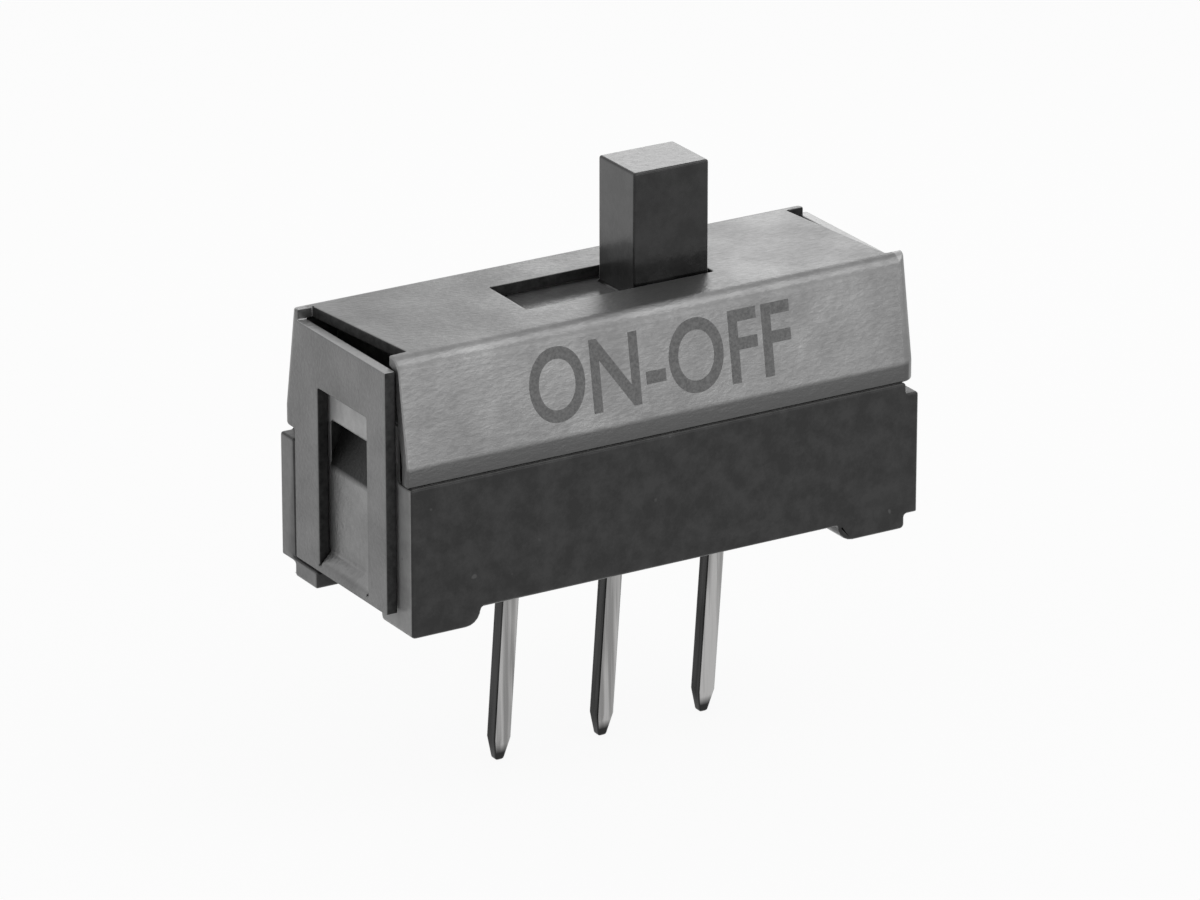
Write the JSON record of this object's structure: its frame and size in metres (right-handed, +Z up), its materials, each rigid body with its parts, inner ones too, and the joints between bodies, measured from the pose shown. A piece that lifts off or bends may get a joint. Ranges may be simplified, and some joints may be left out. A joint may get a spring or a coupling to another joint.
{
  "type": "slide switch",
  "caption": "Miniature slide switch for a printed circuit board: a folded metal cover latched over a black moulded base, with a square lever in a slot and straight in-line solder legs",
  "frame": {"origin": "on the seating plane of the feet, at the middle of the body, below the middle of the common terminal's blade", "axes": "+X along the length and the lever's travel, towards the end where the lever rests; +Y across the body, away from the front panel; +Z up, along the lever"},
  "size_m": [0.01, 0.0038, 0.0101],
  "materials": {
    "base_plastic": "fine moulded texture, black",
    "cover_sheet": "tin-plated steel sheet, dull grey, finely grained",
    "slider_plastic": "moulded, dark grey",
    "clip_strip": "springy bronze strip, as rolled",
    "terminal_strip": "brass, tin-plated, bright",
    "sealing_compound": "cured resin, amber brown"
  },
  "bodies": {
    "housing": {"base": "base_plastic", "cover": "cover_sheet", "left_terminal": "terminal_strip", "common_terminal": "terminal_strip", "right_terminal": "terminal_strip", "terminal_seal": "sealing_compound"},
    "lever_slider": {"slider": "slider_plastic", "contact_clip": "clip_strip"}
  },
  "joints": [
    {"name": "lever_slide", "type": "slide", "parent": "housing", "child": "lever_slider", "axis": [1, 0, 0], "range_m": [-0.002, 0]}
  ]
}
